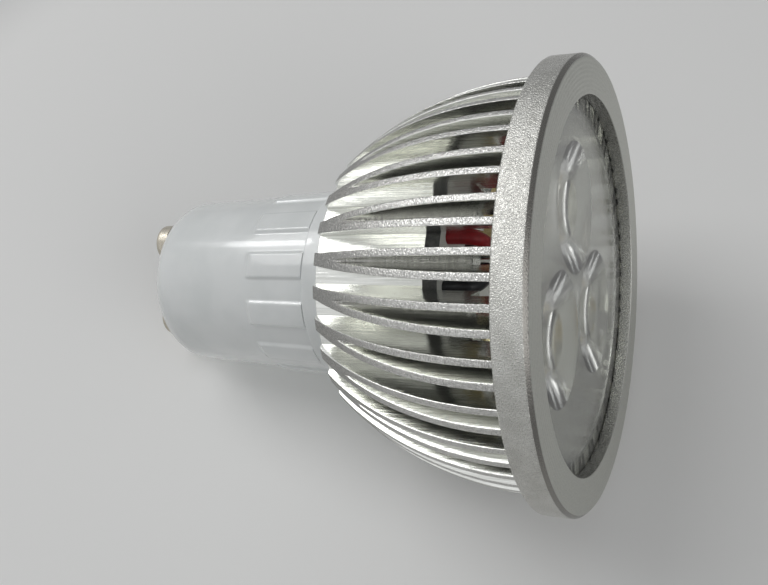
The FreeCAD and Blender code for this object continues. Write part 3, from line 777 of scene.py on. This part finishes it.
def base_skin(s):
    """Moulded base: a quarter-round end, a cone with soft pads, a brim, and the bore inside.

    A pad lifts the cone by rise * step(across) * step(up), where step is the cubic smooth step over the soft edge.
    """
    seat = SINK_LOW.z
    brim_low = seat - s.brim_height
    slope = (s.cone_radius - s.end_radius) / brim_low
    turn = np.linspace(0.0, np.pi / 2, NOSE_ROWS)
    edge = s.end_radius + slope * s.end_round
    nose = np.stack([edge - s.end_round * (1 - np.sin(turn)), s.end_round * (1 - np.cos(turn))], axis=-1)
    heights = np.linspace(s.end_round, brim_low - 0.1 * MM, CONE_ROWS)[1:]
    cone = np.stack([s.end_radius + slope * heights, heights], axis=-1)
    brim, top = BASE_HIGH.x, BASE_HIGH.z
    rest = profile(
        (s.cone_radius, brim_low - EASE / 2, 0.0),
        (s.cone_radius + EASE / 2, brim_low, EASE / 4),
        (brim, brim_low + EASE, EASE),
        (brim, seat, EASE),
        (s.spigot_radius, seat, EASE),
        (s.spigot_radius, top, EASE),
        (s.bore_radius, top, EASE),
        (s.bore_radius, s.end_wall, EASE),
        (0.2 * s.bore_radius, s.end_wall, 0.0),
    )
    outline = np.concatenate([[[0.3 * edge, 0.0]], nose, cone, rest])
    columns = s.pad_count * PAD_COLUMNS
    share = 2.0 * np.pi / s.pad_count
    around = np.arange(columns) * 2.0 * np.pi / columns - s.pad_turn
    off = np.abs((around + share / 2) % share - share / 2)
    across = smooth_step((s.pad_width / 2 - off) * s.cone_radius / s.pad_edge + 0.5)
    up = smooth_step((outline[:, 1] - brim_low + s.pad_length) / (2.0 * s.pad_edge))
    up[-len(rest):] = 0.0
    radius = outline[:, :1] + s.pad_rise * up[:, None] * across
    return poled(revolved(radius, outline[:, 1]), 0.0, s.end_wall)


def dome_skin(node, clear):
    """Spherical cap in the box of an emitter's dome, clear of the body under it.

    With R = (r^2 + h^2) / (2 h), the point at t from the crown is (R sin t, top - R (1 - cos t)).
    """
    low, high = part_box(node)
    middle = (low + high) / 2
    rim = (high.x - low.x) / 2
    rise = high.z - low.z - clear
    ball = (rim ** 2 + rise ** 2) / (2 * rise)
    t = np.linspace(0.0, math.acos(1 - rise / ball), DOME_ROWS)[1:]
    radius = np.repeat(ball * np.sin(t)[:, None], DOME_COLUMNS, axis=1)
    points, faces = poled(revolved(radius, high.z - ball * (1 - np.cos(t))), high.z, high.z - rise)
    return (np.array(points) + [middle.x, middle.y, 0.0]).tolist(), faces


class BULB_OT_front_ring(bpy.types.Operator):
    """Builds the turned front ring with its tool marks"""

    bl_idname = "bulb.front_ring"
    bl_label = "Front Ring"

    def execute(self, context):
        skin = ring_skin(context.scene.bulb_ring)
        piece("turned_ring", skin, ring_finish(context.scene.bulb_colours), "front_ring")
        return {"FINISHED"}


class BULB_OT_heat_sink(bpy.types.Operator):
    """Builds the heat sink with its forked fins and worn edges"""

    bl_idname = "bulb.heat_sink"
    bl_label = "Heat Sink"

    def execute(self, context):
        skin = sink_skin(context.scene.bulb_fins)
        piece("forked_fins", skin, sink_finish(context.scene.bulb_colours), "heat_sink")
        return {"FINISHED"}


class BULB_OT_lens(bpy.types.Operator):
    """Makes the lens clear"""

    bl_idname = "bulb.lens"
    bl_label = "Lens"

    def execute(self, context):
        dress(lens_finish(context.scene.bulb_colours), "lens")
        return {"FINISHED"}


class BULB_OT_base(bpy.types.Operator):
    """Builds the white base with its soft-edged grip pads"""

    bl_idname = "bulb.base"
    bl_label = "Base"

    def execute(self, context):
        skin = base_skin(context.scene.bulb_base)
        piece("base_moulding", skin, base_finish(context.scene.bulb_colours), "base_shell")
        return {"FINISHED"}


class BULB_OT_pins(bpy.types.Operator):
    """Gives the contact pins their plating"""

    bl_idname = "bulb.pins"
    bl_label = "Contact Pins"

    def execute(self, context):
        tint = context.scene.bulb_colours.pin
        dress(plated_finish("pin_plating", tint, 0.2), "contact_pin_a", "contact_pin_b")
        return {"FINISHED"}


class BULB_OT_emitters(bpy.types.Operator):
    """Finishes the emitters, their board, leads and screws"""

    bl_idname = "bulb.emitters"
    bl_label = "Emitters"

    def execute(self, context):
        colours = context.scene.bulb_colours
        dress(board_finish(colours), "led_board")
        bodies = [n for n in NODES if n.startswith("led_body")]
        domes = [n for n in NODES if n.startswith("led_dome")]
        dress(emitter_finish(colours, bodies, context.scene.bulb_emitters.patch_radius), *bodies)
        clear = dome_finish(colours)
        for name in domes:
            piece("clear_" + name, dome_skin(name, context.scene.bulb_emitters.clear), clear, name)
        dress(plated_finish("tinned_leads", colours.lead, 0.45), "led_leads")
        dress(plated_finish("screw_plating", colours.screw, 0.28), "board_screws", "base_screws")
        return {"FINISHED"}


class BULB_OT_driver(bpy.types.Operator):
    """Finishes the driver board and what stands on it"""

    bl_idname = "bulb.driver"
    bl_label = "Driver"

    def execute(self, context):
        colours = context.scene.bulb_colours
        dress(plastic_finish("green_mask", colours.driver, 0.3), "driver_board")
        dress(plastic_finish("ferrite", colours.ferrite, 0.55, scale=5.0), "transformer_core")
        dress(plastic_finish("yellow_tape", colours.tape, 0.35), "transformer_coil")
        dress(plastic_finish("shrink_sleeve", colours.sleeve, 0.22), "input_capacitor", "output_capacitor")
        dress(
            plastic_finish("chip_epoxy", colours.epoxy, 0.5),
            "bridge_rectifier", "controller_chip", "output_diode",
        )
        dress(plastic_finish("fuse_lacquer", colours.lacquer, 0.4), "fuse_resistor")
        return {"FINISHED"}


class BULB_OT_wires(bpy.types.Operator):
    """Finishes the insulated leads"""

    bl_idname = "bulb.wires"
    bl_label = "Leads"

    def execute(self, context):
        colours = context.scene.bulb_colours
        dress(plastic_finish("red_insulation", colours.red, 0.35), "red_wire")
        dress(plastic_finish("black_insulation", colours.black, 0.35), "black_wire")
        dress(plastic_finish("mains_insulation", colours.mains, 0.35), "live_wire", "neutral_wire")
        return {"FINISHED"}


def aim(place, target, roll=0.0):
    """Turn that points an object's -Z at a target, with a roll about that line."""
    looking = (Vector(target) - Vector(place)).to_track_quat("-Z", "Y")
    return (looking.to_matrix() @ Matrix.Rotation(roll, 3, "Z")).to_euler()


def soft_light(name, place, target, width, power):
    """Square area light aimed at a point."""
    data = bpy.data.lights.new(name, "AREA")
    data.size = width
    data.energy = power
    made = bpy.data.objects.new(name, data)
    made.location = place
    made.rotation_euler = aim(place, target)
    bpy.context.scene.collection.objects.link(made)


class BULB_OT_stage(bpy.types.Operator):
    """Sets the camera, the soft light and the pale surface that the bulb lies on"""

    bl_idname = "bulb.stage"
    bl_label = "Stage"

    def execute(self, context):
        s = context.scene.bulb_stage
        self.camera(context.scene, s)
        self.surface(s)
        self.lights(s)
        self.sky(context.scene, s)
        context.scene.view_settings.view_transform = "Standard"
        return {"FINISHED"}

    def camera(self, scene, s):
        """Camera that sees the bulb as the photograph does."""
        data = bpy.data.cameras.new("camera")
        data.lens = s.camera_lens
        data.clip_start = 1.0 * MM
        made = bpy.data.objects.new("camera", data)
        made.location = s.camera_place
        made.rotation_euler = aim(s.camera_place, s.camera_aim, s.camera_roll)
        scene.collection.objects.link(made)
        scene.camera = made

    def surface(self, s):
        """Square in the plane radius = rim + slope (z - ring), on the lying side of the axis."""
        out = Vector((math.cos(s.floor_side), math.sin(s.floor_side), 0.0))
        up = (Vector((0.0, 0.0, 1.0)) + out * s.floor_slope).normalized()
        inward = (Vector((0.0, 0.0, s.floor_slope)) - out).normalized()
        touch = out * (RING_HIGH.x + s.floor_gap) + Vector((0.0, 0.0, RING_LOW.z))
        reach = s.floor_far
        mesh = bpy.data.meshes.new("surface")
        corners = [(-reach, -reach, 0.0), (reach, -reach, 0.0), (reach, reach, 0.0), (-reach, reach, 0.0)]
        mesh.from_pydata(corners, [], [(0, 1, 2, 3)])
        mesh.materials.append(surface_finish(s.floor, s.floor_near, s.floor_far))
        made = bpy.data.objects.new("surface", mesh)
        made.location = touch - up * (RING_LOW.z / 2)
        made.rotation_euler = inward.to_track_quat("Z", "Y").to_euler()
        bpy.context.scene.collection.objects.link(made)

    def lights(self, s):
        """Four soft lights round the bulb."""
        middle = Vector((0.0, 0.0, s.light_aim))
        key = Vector(s.key_side).normalized() * s.key_far
        glint = Vector(s.glint_side).normalized() * s.glint_far
        soft_light("key", middle + key, middle, s.key_size, s.key_power)
        soft_light("glint", middle + glint, middle, s.glint_size, s.glint_power)
        soft_light("fill", middle + Vector(s.fill_place), middle, s.wide, s.fill_power)
        soft_light("back", middle + Vector(s.back_place), middle, s.wide, s.back_power)

    def sky(self, scene, s):
        """World that is lighter towards the key light, at full strength where it is seen or mirrored."""
        world = bpy.data.worlds.new("sky")
        world.use_nodes = True
        tree = world.node_tree

        def added(kind, values, **settings):
            made = tree.nodes.new(kind)
            for name, value in settings.items():
                setattr(made, name, value)
            for name, value in values.items():
                plug(tree, made.inputs[name], value)
            return made.outputs

        place = added("ShaderNodeTexCoord", {})["Generated"]
        side = Vector(s.sky_side).normalized()
        along = added("ShaderNodeVectorMath", {0: place, 1: side}, operation="DOT_PRODUCT")["Value"]
        span = {"Value": along, "From Min": s.sky_from, "From Max": s.sky_to, "To Min": s.sky_low, "To Max": 1.0}
        level = added("ShaderNodeMapRange", span, interpolation_type="SMOOTHSTEP")["Result"]
        path = added("ShaderNodeLightPath", {})
        mirrored = added(
            "ShaderNodeMath", {0: path["Is Glossy Ray"], 1: path["Is Transmission Ray"]}, operation="MAXIMUM"
        )[0]
        seen = added("ShaderNodeMath", {0: path["Is Camera Ray"], 1: mirrored}, operation="MAXIMUM")[0]
        strength = added("ShaderNodeMix", {0: seen, 2: s.sky_level, 3: 1.0})[0]
        light = tree.nodes["Background"].inputs
        plug(tree, light["Color"], (*s.sky, 1.0))
        plug(tree, light["Strength"], added("ShaderNodeMath", {0: strength, 1: level}, operation="MULTIPLY")[0])
        scene.world = world


OPERATORS = (
    BULB_OT_front_ring,
    BULB_OT_heat_sink,
    BULB_OT_lens,
    BULB_OT_base,
    BULB_OT_pins,
    BULB_OT_emitters,
    BULB_OT_driver,
    BULB_OT_wires,
    BULB_OT_stage,
)


class BULB_PT_sidebar(bpy.types.Panel):
    """Lists the bulb's pieces and their settings"""

    bl_idname = "BULB_PT_sidebar"
    bl_label = "Spotlight Bulb"
    bl_space_type = "VIEW_3D"
    bl_region_type = "UI"
    bl_category = "Bulb"

    def draw(self, context):
        for operator in OPERATORS:
            self.layout.operator(operator.bl_idname)
        for name in GROUPS:
            group = getattr(context.scene, name)
            for setting in group.__annotations__:
                self.layout.prop(group, setting)


GROUPS = {
    "bulb_ring": BulbRing,
    "bulb_fins": BulbFins,
    "bulb_base": BulbBase,
    "bulb_emitters": BulbEmitters,
    "bulb_colours": BulbColours,
    "bulb_stage": BulbStage,
}
CLASSES = (*GROUPS.values(), *OPERATORS, BULB_PT_sidebar)


def register():
    """Registers every class and hangs the settings on the scene."""
    for cls in CLASSES:
        bpy.utils.register_class(cls)
    for name, group in GROUPS.items():
        setattr(bpy.types.Scene, name, PointerProperty(type=group))


def unregister():
    """Takes the settings and classes away again."""
    for name in GROUPS:
        delattr(bpy.types.Scene, name)
    for cls in reversed(CLASSES):
        bpy.utils.unregister_class(cls)


def main():
    """Registers the add-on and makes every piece."""
    register()
    bpy.ops.bulb.front_ring()
    bpy.ops.bulb.heat_sink()
    bpy.ops.bulb.lens()
    bpy.ops.bulb.base()
    bpy.ops.bulb.pins()
    bpy.ops.bulb.emitters()
    bpy.ops.bulb.driver()
    bpy.ops.bulb.wires()
    bpy.ops.bulb.stage()


if __name__ == "__main__":
    main()
